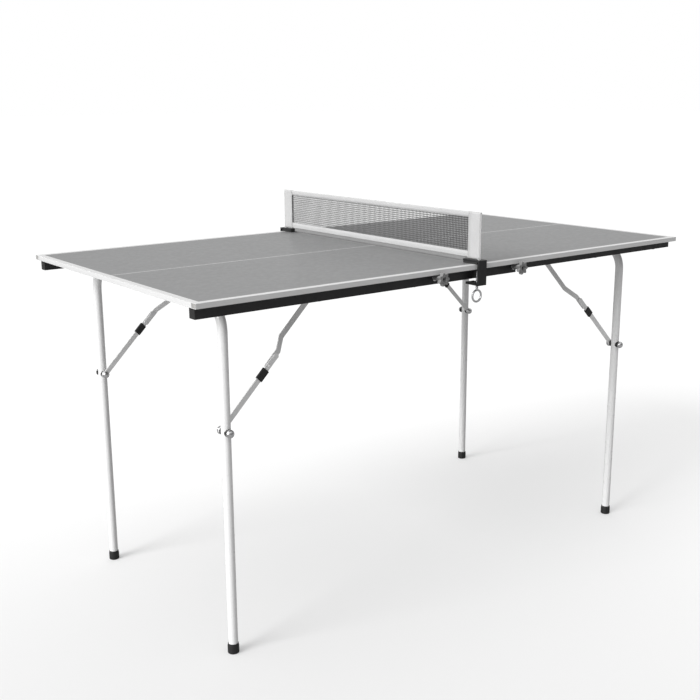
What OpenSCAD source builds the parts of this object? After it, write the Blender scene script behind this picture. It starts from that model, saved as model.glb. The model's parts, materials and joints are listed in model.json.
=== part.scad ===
// Folding ping pong table for small rooms. The top is two boards whose side rails telescope and are
// clamped by four hand knobs. Each end stands on a U-shaped tube frame that folds under its board
// and is held by two jointed stays. Two screw clamps carry the net across the middle.
// Millimetres. +Z up, +X along the table, -Y the near side. Origin on the floor under the middle.

/* [Table top] */
// Overall length of the table
table_l = 1400; // [1320:10:1700]
// Overall width of the table
table_w = 750; // [660:10:920]
// Height of the playing surface above the floor
table_h = 760; // [700:10:920]
// Thickness of the boards
board_t = 10.4; // [9:0.1:16]
// Width of the white trim seen from above
trim_w = 15; // [8:1:30]
// Thickness of the trim's outer wall
trim_wall = 1.2; // [0.8:0.1:2]
// Thickness of the trim's two lips, let into the board
trim_lip = 0.8; // [0.5:0.1:1.2]
// Gap between the two boards in the middle
seam = 0.5; // [0.3:0.1:2]

/* [Rails] */
// Distance from the board's side edge to the rail
rail_inset = 15; // [10:1:30]
// Distance from the board's end to the rail's end
rail_end_gap = 8; // [4:1:30]
// Width of the outer channel
rail_w = 20; // [18:1:30]
// Height of the outer channel
rail_h = 22; // [22:1:34]
// Wall of the outer channel
rail_wall = 2; // [1.5:0.1:3]
// Height of the inner rail
inner_h = 16.5; // [16:0.5:18]
// Wall of the inner rail
inner_wall = 1.6; // [1.2:0.1:2]
// Side clearance between inner rail and channel
slide_gap = 0.3; // [0.2:0.05:0.6]
// How far each rail runs on past the middle
rail_overlap = 127; // [100:1:200]

/* [Knobs] */
// Distance of each knob from the middle
knob_x = 119; // [60:1:119]
// Diameter of the knob over its lobes
knob_d = 30; // [24:1:36]
// Thickness of the knob's grip
knob_t = 9; // [7:0.5:12]
// Length of the knob's hub
hub_l = 21; // [18:1:30]
// Diameter of the knob's hub
hub_d = 11; // [10:0.5:14]
// Number of lobes
lobes = 7; // [5:1:9]
// Diameter of the rail bolts
bolt_d = 6; // [5:0.5:6]

/* [Leg frames] */
// Outer diameter of the leg tube
tube_d = 20; // [18:1:24]
// Wall of the leg tube
tube_wall = 1.5; // [1:0.1:2.5]
// Distance of the leg from the board's end
leg_end = 106; // [80:1:130]
// Distance of the leg from the board's side edge
leg_side = 91; // [80:1:110]
// Radius of the frame's corners, at the tube's centre
corner_r = 60; // [40:1:80]
// Air between the cross tube and the board
cross_gap = 2.6; // [1.2:0.1:4]
// Wall of the foot caps round the tube
foot_wall = 1.95; // [1.5:0.05:4]
// Height of the foot caps
foot_h = 22; // [16:1:40]
// Sole thickness of the foot caps
foot_sole = 2; // [1.5:0.5:5]

/* [Stays] */
// Height of the leg bolt below the cross tube
stay_drop = 260; // [220:1:290]
// Width of the flat bars
bar_w = 12; // [10:0.2:14.4]
// Thickness of the flat bars
bar_t = 2.5; // [2:0.5:4]
// Spacer between leg and lower stay
spacer_t = 3; // [3:0.5:6]
// Sideways step in the upper stay
joggle = 22; // [18:1:26]
// Distance from the elbow to the start of the step
joggle_from = 13; // [12:1:20]
// Length of the step along the bar
joggle_l = 32; // [24:1:40]
// Length of the upper stay's tail past the elbow
tail_l = 32; // [26:1:40]
// Distance of the stop rivets from the elbow
stop_at = 23; // [18:0.5:25]
// Length of the lock sleeve
sleeve_l = 26; // [20:1:32]
// Wall of the lock sleeve
sleeve_wall = 1.5; // [1.2:0.1:2]

/* [Net] */
// Height of the net above the board
net_h = 111; // [90:1:152]
// Width of the net clamps
clamp_w = 24; // [20:1:32]
// Thickness of the clamp's plate
clamp_t = 4; // [3:0.5:5]
// Length of the clamp's upper arm
upper_arm = 50; // [44:1:70]
// Length of the clamp's lower arm
lower_arm = 40; // [38:1:50]
// Air between the board's edge and the clamp's plate
clamp_slack = 4; // [2:0.5:6]
// Air between rail and lower arm
clamp_reach = 8.5; // [6:0.5:20]
// Thickness of the pad under the upper arm
pad_t = 5; // [3:0.5:6]
// Diameter of the net posts
post_d = 7; // [5:0.5:8]
// Outer diameter of the screw's ring
ring_d = 30; // [26:1:40]
// Wire diameter of the screw's ring
ring_wire = 4.5; // [4:0.5:6]
// Diameter of the clamp screw
screw_d = 6; // [5:0.5:6]

/* [Hidden] */
$fn = 64;

fit = 0.08;        // radial clearance of a turning or threaded fit
snug = 0.05;       // radial clearance between pieces that stay together
face_gap = 0.4;    // air between bars that turn past each other
under_gap = 0.5;   // air between a rail and the board that it slides under

half_l = table_l / 2;
half_w = table_w / 2;
board_z = table_h - board_t;              // underside of the boards

rail_y = half_w - rail_inset;             // outer face of the rails
inner_w = rail_w - 2 * rail_wall - 2 * slide_gap;
rail_mid_y = rail_y - rail_w / 2;
bolt_z = board_z - inner_h / 2;           // axis of the rail bolts
slot_w = bolt_d + 1;
washer_t = 1.5;
washer_d = 14;
bolt_head_t = 2.5;
bolt_head_d = 11;
bolt_out = 22.5;                          // length of the rail bolt outside the channel

tube_r = tube_d / 2;
foot_d = tube_d + 2 * (snug + foot_wall);
leg_x = half_l - leg_end;
leg_y = half_w - leg_side;
pivot_z = board_z - cross_gap - tube_r;   // axis of the cross tube
stay_z = pivot_z - stay_drop;             // axis of the leg bolts
stay_b = stay_drop / sqrt(2);             // elbow to leg bolt, and elbow to bracket pin
pin_x = leg_x - stay_drop;                // the bracket pin is as far from the pivot as the leg bolt
pin_d = 6;
outer_spacer = 5;
dome_d = 17.5;
dome_rim = 2;
dome_h = 6.7;
rivet_d = 5;
eye_r = bar_w / 2 + 1;

bar_y = leg_y - tube_r - spacer_t - 0.3;            // outer face of the lower stay
sleeve_gap = 0.3;
elbow_gap = sleeve_gap + sleeve_wall + face_gap;    // air between the bars, wider than the sleeve's wall
upper_y = bar_y - bar_t - elbow_gap;                // outer face of the upper stay at the elbow
offset_y = upper_y - joggle;                        // its outer face past the step
sleeve_end = tail_l + 2;                            // sleeve's end, measured from the elbow

saddle_y = 180;                                     // pillow block from the table's middle line
saddle_l = 26;
saddle_w = 32;
saddle_wall = 3.5;
saddle_foot = 14;
saddle_foot_t = 3;
bracket_t = 2.5;
bracket_l = 30;
bracket_reach = 12;                                 // screw from the bracket's middle
pan_d = 8;
pan_t = 2.3;
wood_d = 4;
wood_l = 7;

clamp_top = table_h + pad_t + clamp_t;
clamp_low = board_z - rail_h - clamp_reach;         // top of the lower arm
clamp_y = half_w + clamp_slack + clamp_t;           // outer face of the clamp
lower_t = 5;
screw_y = half_w - rail_inset / 2 - 1;              // axis of the clamp screw, outside the rail
pad_d = 11;
pad_h = 4;
post_y = half_w - post_d / 2;
net_t = 2;
net_lift = 2.5;                                     // air under the net's lower edge
net_sleeve = 0.8;                                   // cloth round each post

white = "white";
black = [0.12, 0.12, 0.12];
steel = [0.78, 0.78, 0.8];
grey = [0.62, 0.62, 0.63];
knob_grey = [0.5, 0.5, 0.5];

// Places a piece drawn for the near left quarter of the table in any quarter.
module place(right, far) {
  mirror([right ? 1 : 0, 0, 0]) mirror([0, far ? 1 : 0, 0]) children();
}

// The same piece on the near and the far side.
module both_sides(right = false) {
  for (far = [false, true]) place(right, far) children();
}

// A box from its lowest corner to its highest corner.
module block(low, high) {
  translate(low) cube(high - low);
}

// A cylinder along Y between two places.
module rod_y(x, z, d, from, to) {
  translate([x, min(from, to), z]) rotate([-90, 0, 0]) cylinder(d = d, h = abs(to - from));
}

// ---- boards ----

// Screw places of the near left quarter: [x, y, height of the head's seat].
function quarter_screws() = concat(
  [for (s = [-1, 1]) [-leg_x + s * (saddle_w / 2 + saddle_foot / 2), -saddle_y, board_z - saddle_foot_t]],
  [for (s = [-1, 1]) [-pin_x, -(offset_y - bar_t / 2) + s * bracket_reach, board_z - bracket_t]]
);

// Rail screws, clear of the stretch where the two rails overlap: [x, y].
function rail_screws() =
  [for (x = [half_l - 60, (half_l + rail_overlap) / 2, rail_overlap + 40]) [-x, -rail_mid_y]];

module screw_holes() {
  for (p = concat(quarter_screws(), rail_screws()))
    translate([p.x, p.y, board_z - 1]) cylinder(d = wood_d + 2 * snug, h = wood_l + 1.3);
}

module board() {
  lip = [-half_l, -half_w, 0];
  difference() {
    block([-half_l + trim_wall, -half_w + trim_wall, board_z], [-seam / 2, half_w - trim_wall, table_h]);
    difference() {
      block([-half_l, -half_w, board_z - 1], [0, half_w, board_z + trim_lip]);
      block([-half_l + trim_w, -half_w + trim_w, board_z - 2], [1, half_w - trim_w, table_h]);
    }
    difference() {
      block([-half_l, -half_w, table_h - trim_lip], [0, half_w, table_h + 1]);
      block([-half_l + trim_w, -half_w + trim_w, board_z], [1, half_w - trim_w, table_h + 2]);
    }
    both_sides() screw_holes();
  }
}

// U profile in the YZ plane, open towards +Y, along X.
module trim_bar(from, to) {
  rotate([90, 0, 90]) translate([0, 0, from]) linear_extrude(to - from)
    difference() {
      square([trim_w, board_t]);
      translate([trim_wall, trim_lip]) square([trim_w, board_t - 2 * trim_lip]);
    }
}

module trim() {
  difference() {
    union() {
      both_sides() translate([0, -half_w, board_z]) trim_bar(-half_l, -seam / 2);
      translate([-half_l, 0, board_z]) rotate([0, 0, -90]) trim_bar(-half_w + trim_w, half_w - trim_w);
    }
    both_sides() screw_holes();
  }
}

// ---- rails ----

// Outer channel, open towards the board.
module outer_rail() {
  difference() {
    block([-half_l + rail_end_gap, -rail_y, board_z - rail_h], [rail_overlap, -rail_y + rail_w, board_z]);
    block([-half_l, -rail_y + rail_wall, board_z - rail_h + rail_wall],
          [rail_overlap + 1, -rail_y + rail_w - rail_wall, board_z + 1]);
    block([0, -rail_y - 1, board_z - under_gap], [rail_overlap + 1, -rail_y + rail_w + 1, board_z + 1]);
    for (x = [-knob_x, knob_x]) rod_y(x, bolt_z, bolt_d + 2 * snug, -rail_y - 1, -rail_y + rail_wall + 1);
    for (p = rail_screws())
      translate([p.x, p.y, board_z - rail_h - 1]) cylinder(d = wood_d + 2 * snug, h = rail_wall + 2);
  }
}

// Inner rail of the right half, drawn for the near left quarter and mirrored with it. It is a box
// profile, slotted along its outer wall where the bolts of the channel run in it.
module inner_rail() {
  out = -rail_y + rail_wall + slide_gap;
  difference() {
    block([-half_l + rail_end_gap, out, board_z - inner_h], [rail_overlap, out + inner_w, board_z]);
    block([-half_l, out + inner_wall, board_z - inner_h + inner_wall],
          [rail_overlap + 1, out + inner_w - inner_wall, board_z - under_gap - inner_wall]);
    block([-seam, out - 1, board_z - under_gap], [rail_overlap + 1, out + inner_w + 1, board_z + 1]);
    block([-rail_overlap, out - 1, bolt_z - slot_w / 2],
          [rail_overlap + 1, out + inner_wall + 1, bolt_z + slot_w / 2]);
    for (p = rail_screws())
      translate([p.x, p.y, board_z - inner_h - 1]) cylinder(d = wood_d + 2 * snug, h = inner_h + 2);
  }
}

// Cap that plugs the outer end of a rail.
module rail_cap(w, h, wall, out, roof) {
  low = board_z - h;
  block([-half_l + rail_end_gap - 2, out, low], [-half_l + rail_end_gap, out + w, board_z]);
  block([-half_l + rail_end_gap, out + wall + snug, low + wall + snug],
        [-half_l + rail_end_gap + 10, out + w - wall - snug, board_z - roof - snug]);
}

// Carriage bolts: head in the inner rail, shank through the slot, the channel and the knob.
module rail_bolt(x) {
  seat = -rail_y + rail_wall + slide_gap + inner_wall + slide_gap;
  rod_y(x, bolt_z, bolt_d, -rail_y - bolt_out, seat);
  rod_y(x, bolt_z, bolt_head_d, seat, seat + bolt_head_t);
}

module knob_washer() {
  difference() {
    rod_y(-knob_x, bolt_z, washer_d, -rail_y - washer_t, -rail_y);
    rod_y(-knob_x, bolt_z, bolt_d + 2 * fit, -rail_y - washer_t - 1, -rail_y + 1);
  }
}

module knob() {
  inner = -rail_y - washer_t;
  face = inner - hub_l;
  lobe_r = knob_d * 0.14;
  difference() {
    union() {
      rod_y(-knob_x, bolt_z, hub_d, face, inner);
      rod_y(-knob_x, bolt_z, knob_d - 2 * lobe_r, face - knob_t, face);
      for (i = [0 : lobes - 1])
        translate([-knob_x, 0, bolt_z]) rotate([0, i * 360 / lobes, 0])
          rod_y(knob_d / 2 - lobe_r, 0, 2 * lobe_r, face - knob_t + 0.8, face - 0.8);
    }
    rod_y(-knob_x, bolt_z, bolt_d + 2 * fit, face - knob_t - 1, inner + 1);
    rod_y(-knob_x, bolt_z, bolt_d + 5, face - knob_t - 1, face - knob_t + 3);
  }
}

// ---- fixings under the boards ----

module pillow_block() {
  difference() {
    union() {
      block([-leg_x - saddle_w / 2, -saddle_y - saddle_l / 2, pivot_z - tube_r - saddle_wall],
            [-leg_x + saddle_w / 2, -saddle_y + saddle_l / 2, board_z]);
      block([-leg_x - saddle_w / 2 - saddle_foot, -saddle_y - saddle_l / 2, board_z - saddle_foot_t],
            [-leg_x + saddle_w / 2 + saddle_foot, -saddle_y + saddle_l / 2, board_z]);
    }
    rod_y(-leg_x, pivot_z, tube_d + 2 * fit, -saddle_y - saddle_l, -saddle_y + saddle_l);
    screw_shanks();
  }
}

module screw_shanks() {
  for (p = quarter_screws()) translate([p.x, p.y, board_z - 5]) cylinder(d = wood_d + 2 * snug, h = 6);
}

// Clevis for the pin of the upper stay.
module stay_bracket() {
  mid = -(offset_y - bar_t / 2);
  half = bar_t / 2 + face_gap + bracket_t;
  difference() {
    union() {
      block([-pin_x - bracket_l / 2, mid - bracket_reach - 5, board_z - bracket_t],
            [-pin_x + bracket_l / 2, mid + bracket_reach + 5, board_z]);
      block([-pin_x - eye_r - 2, mid - half, pivot_z], [-pin_x + eye_r + 2, mid + half, board_z]);
      rod_y(-pin_x, pivot_z, 2 * eye_r + 4, mid - half, mid + half);
    }
    block([-pin_x - 40, mid - half + bracket_t, pivot_z - 40],
          [-pin_x + 40, mid + half - bracket_t, board_z - bracket_t]);
    rod_y(-pin_x, pivot_z, pin_d + 2 * snug, mid - 30, mid + 30);
    screw_shanks();
  }
}

module stay_pin() {
  mid = -(offset_y - bar_t / 2);
  half = bar_t / 2 + face_gap + bracket_t;
  rod_y(-pin_x, pivot_z, pin_d, mid - half - 1, mid + half + 1);
  for (s = [-1, 1]) rod_y(-pin_x, pivot_z, pin_d + 4, mid + s * half, mid + s * (half + 2));
}

// Pan head screw, head down, driven up into the board.
module pan_screw(seat, l) {
  translate([0, 0, seat - pan_t]) cylinder(d = pan_d, h = pan_t);
  translate([0, 0, seat - 0.5]) cylinder(d = wood_d, h = l + 0.5);
}

module screws(rail_seat) {
  for (p = quarter_screws()) translate([p.x, p.y, 0]) pan_screw(p.z, board_z - p.z + wood_l);
  for (p = rail_screws()) translate([p.x, p.y, 0]) pan_screw(rail_seat, board_z - rail_seat + wood_l);
}

// ---- leg frames ----

// The frame's centre line as a solid of the given radius: two legs, two corners, one cross tube.
module frame_path(r, foot_z) {
  for (s = [-1, 1]) {
    translate([-leg_x, s * leg_y, foot_z]) cylinder(r = r, h = pivot_z - corner_r - foot_z);
    translate([-leg_x, s * (leg_y - corner_r), pivot_z - corner_r]) rotate([0, 0, s * 90])
      rotate([90, 0, 0]) rotate_extrude(angle = 90) translate([corner_r, 0]) circle(r = r);
  }
  rod_y(-leg_x, pivot_z, 2 * r, -leg_y + corner_r, leg_y - corner_r);
}

module leg_frame() {
  difference() {
    frame_path(tube_r, foot_sole);
    frame_path(tube_r - tube_wall, foot_sole - 1);
    rod_y(-leg_x, stay_z, pin_d + 2 * snug, -leg_y - 20, leg_y + 20);
  }
}

module foot_cap() {
  translate([-leg_x, -leg_y, 0]) rotate_extrude()
    difference() {
      polygon([[0, 0], [foot_d / 2 - 1, 0], [foot_d / 2, 1], [foot_d / 2, foot_h - 6],
               [tube_r + 0.9, foot_h], [0, foot_h]]);
      translate([-1, foot_sole]) square([tube_r + snug + 1, foot_h]);
    }
}

// Domed nut with its flat face at y = 0, pointing to -Y.
module dome_nut() {
  cap_r = (dome_d * dome_d / 4 + dome_h * dome_h) / (2 * dome_h);
  rotate([90, 0, 0]) {
    cylinder(d = dome_d, h = dome_rim);
    translate([0, 0, dome_rim]) intersection() {
      translate([0, 0, dome_h - cap_r]) sphere(r = cap_r);
      cylinder(d = dome_d, h = dome_h + 1);
    }
  }
}

// Leg bolt: domed nut outside the leg, and the shank as far as the bar on its inner side.
module leg_bolt() {
  rod_y(-leg_x, stay_z, pin_d, -leg_y - tube_r - outer_spacer - 0.5, -(bar_y - bar_t));
  translate([-leg_x, -leg_y - tube_r - outer_spacer, stay_z]) dome_nut();
}

// Spacers on both sides of the leg, hollowed to lie on the tube.
module spacer() {
  difference() {
    rod_y(-leg_x, stay_z, 16, -leg_y - tube_r - outer_spacer, -leg_y + tube_r + spacer_t);
    translate([-leg_x, -leg_y, stay_z - 20]) cylinder(r = tube_r + 0.01, h = 40);
    rod_y(-leg_x, stay_z, pin_d + 2 * snug, -leg_y - 40, -leg_y + 40);
  }
}

// ---- stays ----

// Stands its children along the stay: x runs from the leg bolt up towards the bracket.
module along_stay() {
  translate([-leg_x, 0, stay_z]) rotate([0, -45, 0]) children();
}

// Bar outline in the XZ plane with round ends, between two places along the stay.
module bar_outline(from, to, w) {
  rotate([90, 0, 0]) linear_extrude(200, center = true) union() {
    translate([from, -w / 2]) square([to - from, w]);
    translate([from, 0]) circle(d = w);
    translate([to, 0]) circle(d = w);
  }
}

module lower_stay() {
  along_stay() difference() {
    union() {
      intersection() {
        translate([0, -bar_y, 0]) bar_outline(0, stay_b, bar_w);
        block([-20, -bar_y, -20], [stay_b + 20, -bar_y + bar_t, 20]);
      }
      rod_y(0, 0, 2 * eye_r + 2, -bar_y, -bar_y + bar_t);
    }
    rod_y(stay_b, 0, rivet_d + 2 * snug, -bar_y - 1, -bar_y + bar_t + 1);
    rod_y(0, 0, pin_d + 2 * fit, -bar_y - 1, -bar_y + bar_t + 1);
  }
}

// Side view of the joggled bar, extruded to its width and rounded at both ends.
module upper_stay() {
  shift = bar_t * tan(atan(joggle / joggle_l) / 2);
  a = stay_b - tail_l - 5;
  b = stay_b + joggle_from;
  c = b + joggle_l;
  d = 2 * stay_b + 20;
  along_stay() difference() {
    intersection() {
      linear_extrude(40, center = true) polygon([
        [a, -upper_y], [b, -upper_y], [c, -offset_y], [d, -offset_y], [d, -offset_y + bar_t],
        [c - shift, -offset_y + bar_t], [b - shift, -upper_y + bar_t], [a, -upper_y + bar_t]]);
      translate([0, -upper_y, 0]) bar_outline(stay_b - tail_l + bar_w / 2, 2 * stay_b, bar_w);
    }
    rod_y(stay_b, 0, rivet_d + 2 * snug, -upper_y - 1, -upper_y + bar_t + 1);
    rod_y(2 * stay_b, 0, pin_d + 2 * fit, -offset_y - 1, -offset_y + bar_t + 1);
  }
}

// Inner half of the elbow rivet: the head, the shank in the upper stay, and the washer that keeps
// the two bars apart. The pivot is open here, so that the shank ends short of the lower stay.
module inner_rivet() {
  inner = -upper_y + bar_t;
  along_stay() {
    rod_y(stay_b, 0, rivet_d, -upper_y, inner);
    rod_y(stay_b, 0, bar_w - 1, inner, inner + 1.2);
    rod_y(stay_b, 0, bar_w - 1, -upper_y - sleeve_gap - sleeve_wall, -upper_y);
  }
}

// Outer half of the elbow rivet in the lower stay, and the button that stops the sleeve.
module outer_rivet() {
  along_stay() {
    rod_y(stay_b, 0, rivet_d, -bar_y, -bar_y + bar_t);
    rod_y(stay_b, 0, bar_w, -bar_y - 0.8, -bar_y);
    rod_y(stay_b - stop_at, 0, rivet_d, -bar_y - 2, -bar_y);
  }
}

// Washer and domed nut that hold the lower stay on the leg bolt.
module stay_nut() {
  inner = -bar_y + bar_t;
  rod_y(-leg_x, stay_z, 15, inner, inner + 1.5);
  translate([-leg_x, inner + 1.5, stay_z]) mirror([0, 1, 0]) dome_nut();
}

module sleeve() {
  end = stay_b - sleeve_end;
  gap = sleeve_gap;
  wall = sleeve_wall + gap;
  along_stay() difference() {
    block([end - sleeve_l, -bar_y - wall, -bar_w / 2 - wall], [end, -bar_y + bar_t + wall, bar_w / 2 + wall]);
    block([end - sleeve_l - 1, -bar_y - gap, -bar_w / 2 - gap],
          [end + 1, -bar_y + bar_t + gap, bar_w / 2 + gap]);
  }
}

// ---- net ----

module net_clamp() {
  half = clamp_w / 2;
  difference() {
    union() {
      block([-half, -clamp_y, clamp_low - lower_t], [half, -clamp_y + clamp_t, clamp_top]);
      block([-half, -clamp_y, clamp_top - clamp_t], [half, -clamp_y + upper_arm, clamp_top]);
      block([-half, -clamp_y, clamp_low - lower_t], [half, -clamp_y + lower_arm, clamp_low]);
    }
    translate([0, -screw_y, clamp_low - 20]) cylinder(d = screw_d + 2 * fit, h = 40);
  }
}

module net_clamp_pad() {
  block([-clamp_w / 2 + 1, -half_w, table_h], [clamp_w / 2 - 1, -clamp_y + upper_arm, table_h + pad_t]);
}

module net_post() {
  translate([0, -post_y, clamp_top]) cylinder(d = post_d, h = table_h + net_h - 2 - clamp_top);
}

// Cloth panel, raised over the clamps, with a closed sleeve round each post.
module net_panel() {
  end = clamp_y - upper_arm - 2;
  top = table_h + net_h;
  difference() {
    union() {
      block([-net_t / 2, -post_y, clamp_top + 1], [net_t / 2, post_y, top]);
      block([-net_t / 2, -end, table_h + net_lift], [net_t / 2, end, top]);
      both_sides() translate([0, -post_y, clamp_top + 1])
        cylinder(d = post_d + 2 * net_sleeve, h = top - clamp_top - 1);
    }
    both_sides() translate([0, -post_y, clamp_top])
      cylinder(d = post_d + 2 * snug, h = top - clamp_top - 1.5);
  }
}

// Round pad that the clamp screw turns in.
module screw_pad() {
  difference() {
    translate([0, -screw_y, board_z - pad_h]) cylinder(d = pad_d, h = pad_h);
    translate([0, -screw_y, board_z - pad_h - 1]) cylinder(d = screw_d + 2 * fit, h = 3.5);
  }
}

module ring_screw() {
  tip = board_z - pad_h + 2;
  ring_r = (ring_d - ring_wire) / 2;
  ring_z = clamp_low - lower_t - 10 - ring_d / 2;
  translate([0, -screw_y, ring_z + ring_r]) cylinder(d = screw_d, h = tip - ring_z - ring_r);
  translate([0, -screw_y, ring_z]) rotate([90, 0, 0])
    rotate_extrude() translate([ring_r, 0]) circle(d = ring_wire, $fn = 32);
}

// ---- nodes ----

module left_board() { color(grey) board(); }
module left_trim() { color(white) trim(); }
module left_rails() { color(black) both_sides() outer_rail(); }
module left_rail_caps() { color(black) both_sides() rail_cap(rail_w, rail_h, rail_wall, -rail_y, 0); }
module rail_bolts() { color(steel) both_sides() for (x = [-knob_x, knob_x]) rail_bolt(x); }
module knob_washers() {
  color(steel) both_sides() for (right = [false, true]) place(right, false) knob_washer();
}
module left_pillow_blocks() { color(black) both_sides() pillow_block(); }
module left_stay_brackets() { color(white) both_sides() stay_bracket(); }
module left_stay_pins() { color(steel) both_sides() stay_pin(); }
module left_screws() { color(steel) both_sides() screws(board_z - rail_h); }
module net_clamps() { color(black) both_sides() net_clamp(); }
module net_clamp_pads() { color(black) both_sides() net_clamp_pad(); }
module net_posts() { color(steel) both_sides() net_post(); }
module net() { color([0.85, 0.85, 0.85]) net_panel(); }

module right_board() { color(grey) mirror([1, 0, 0]) board(); }
module right_trim() { color(white) mirror([1, 0, 0]) trim(); }
module right_rails() { color(black) both_sides(true) inner_rail(); }
module right_rail_caps() {
  color(black) both_sides(true)
    rail_cap(inner_w, inner_h, inner_wall, -rail_y + rail_wall + slide_gap, under_gap + inner_wall);
}
module right_pillow_blocks() { color(black) both_sides(true) pillow_block(); }
module right_stay_brackets() { color(white) both_sides(true) stay_bracket(); }
module right_stay_pins() { color(steel) both_sides(true) stay_pin(); }
module right_screws() { color(steel) both_sides(true) screws(board_z - inner_h); }

module left_leg_frame() { color(white) place(false, false) leg_frame(); }
module left_foot_caps() { color(black) both_sides() foot_cap(); }
module left_leg_bolts() { color(steel) both_sides() leg_bolt(); }
module left_spacers() { color(black) both_sides() spacer(); }
module left_stay_nuts() { color(steel) both_sides() stay_nut(); }
module near_left_upper_stay() { color(white) place(false, false) upper_stay(); }
module near_left_inner_rivet() { color(steel) place(false, false) inner_rivet(); }
module near_left_lower_stay() { color(white) place(false, false) lower_stay(); }
module near_left_outer_rivet() { color(steel) place(false, false) outer_rivet(); }
module near_left_sleeve() { color(black) place(false, false) sleeve(); }
module far_left_upper_stay() { color(white) place(false, true) upper_stay(); }
module far_left_inner_rivet() { color(steel) place(false, true) inner_rivet(); }
module far_left_lower_stay() { color(white) place(false, true) lower_stay(); }
module far_left_outer_rivet() { color(steel) place(false, true) outer_rivet(); }
module far_left_sleeve() { color(black) place(false, true) sleeve(); }

module right_leg_frame() { color(white) place(true, false) leg_frame(); }
module right_foot_caps() { color(black) both_sides(true) foot_cap(); }
module right_leg_bolts() { color(steel) both_sides(true) leg_bolt(); }
module right_spacers() { color(black) both_sides(true) spacer(); }
module right_stay_nuts() { color(steel) both_sides(true) stay_nut(); }
module near_right_upper_stay() { color(white) place(true, false) upper_stay(); }
module near_right_inner_rivet() { color(steel) place(true, false) inner_rivet(); }
module near_right_lower_stay() { color(white) place(true, false) lower_stay(); }
module near_right_outer_rivet() { color(steel) place(true, false) outer_rivet(); }
module near_right_sleeve() { color(black) place(true, false) sleeve(); }
module far_right_upper_stay() { color(white) place(true, true) upper_stay(); }
module far_right_inner_rivet() { color(steel) place(true, true) inner_rivet(); }
module far_right_lower_stay() { color(white) place(true, true) lower_stay(); }
module far_right_outer_rivet() { color(steel) place(true, true) outer_rivet(); }
module far_right_sleeve() { color(black) place(true, true) sleeve(); }

module near_left_knob() { color(knob_grey) place(false, false) knob(); }
module far_left_knob() { color(knob_grey) place(false, true) knob(); }
module near_right_knob() { color(knob_grey) place(true, false) knob(); }
module far_right_knob() { color(knob_grey) place(true, true) knob(); }
module near_ring_screw() { color(steel) place(false, false) ring_screw(); }
module far_ring_screw() { color(steel) place(false, true) ring_screw(); }
module near_screw_pad() { color(black) place(false, false) screw_pad(); }
module far_screw_pad() { color(black) place(false, true) screw_pad(); }

left_board();
left_trim();
left_rails();
left_rail_caps();
rail_bolts();
knob_washers();
left_pillow_blocks();
left_stay_brackets();
left_stay_pins();
left_screws();
net_clamps();
net_clamp_pads();
net_posts();
net();
right_board();
right_trim();
right_rails();
right_rail_caps();
right_pillow_blocks();
right_stay_brackets();
right_stay_pins();
right_screws();
left_leg_frame();
left_foot_caps();
left_leg_bolts();
left_spacers();
left_stay_nuts();
near_left_upper_stay();
near_left_inner_rivet();
near_left_lower_stay();
near_left_outer_rivet();
near_left_sleeve();
far_left_upper_stay();
far_left_inner_rivet();
far_left_lower_stay();
far_left_outer_rivet();
far_left_sleeve();
right_leg_frame();
right_foot_caps();
right_leg_bolts();
right_spacers();
right_stay_nuts();
near_right_upper_stay();
near_right_inner_rivet();
near_right_lower_stay();
near_right_outer_rivet();
near_right_sleeve();
far_right_upper_stay();
far_right_inner_rivet();
far_right_lower_stay();
far_right_outer_rivet();
far_right_sleeve();
near_left_knob();
far_left_knob();
near_right_knob();
far_right_knob();
near_ring_screw();
far_ring_screw();
near_screw_pad();
far_screw_pad();
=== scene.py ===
"""Looks of a small folding ping pong table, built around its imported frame: softened edges and finishes
for the boards, rails, legs and stays, a woven net with taped edges, lobed hand knobs, threaded ring
screws, cross-headed screws and a pale studio."""

import json
import math

import bmesh
import bpy
from bpy.props import FloatProperty, FloatVectorProperty, IntProperty, PointerProperty
from bpy.types import Operator, Panel, PropertyGroup
from mathutils import Matrix, Vector


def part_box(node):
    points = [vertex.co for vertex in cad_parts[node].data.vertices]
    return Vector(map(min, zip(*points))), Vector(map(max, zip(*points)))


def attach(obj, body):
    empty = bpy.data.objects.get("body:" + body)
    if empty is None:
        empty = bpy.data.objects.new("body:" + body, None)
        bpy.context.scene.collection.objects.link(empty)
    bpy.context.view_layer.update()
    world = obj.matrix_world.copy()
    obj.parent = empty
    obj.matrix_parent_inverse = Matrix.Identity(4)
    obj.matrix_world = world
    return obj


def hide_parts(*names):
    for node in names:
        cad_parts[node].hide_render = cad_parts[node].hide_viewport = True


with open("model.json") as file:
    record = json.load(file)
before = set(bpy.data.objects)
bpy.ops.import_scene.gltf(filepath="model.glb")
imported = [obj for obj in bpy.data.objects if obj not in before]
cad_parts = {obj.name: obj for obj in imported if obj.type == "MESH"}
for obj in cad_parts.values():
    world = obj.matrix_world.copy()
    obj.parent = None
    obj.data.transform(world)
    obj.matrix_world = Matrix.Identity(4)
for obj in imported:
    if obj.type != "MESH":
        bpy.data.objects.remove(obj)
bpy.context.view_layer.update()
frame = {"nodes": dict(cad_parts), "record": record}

bl_info = {
    "name": "Folding Ping Pong Table",
    "version": (1, 0, 0),
    "blender": (4, 5, 0),
    "location": "View3D > Sidebar > Table",
    "description": "Builds the finished pieces of a folding ping pong table around its frame",
    "category": "Object",
}

MM = 0.001
SLOT_OF = {part["node"]: part["material_slot"] for part in frame["record"]["subparts"]}
BODY_OF = {
    node: body
    for body, nodes in frame["record"]["behaviour"]["bodies"].items()
    for node in nodes
}
SIDES = ("near", "far")
ENDS = ("left", "right")


# ---------------------------------------------------------------- sizes and colours

def length(name, description, default, low=0.0, high=1.0):
    return FloatProperty(
        name=name, description=description, default=default, min=low, max=high,
        unit="LENGTH", precision=5,
    )


def colour(name, description, default):
    return FloatVectorProperty(
        name=name, description=description, default=default, min=0.0, max=1.0,
        size=3, subtype="COLOR",
    )


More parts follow.
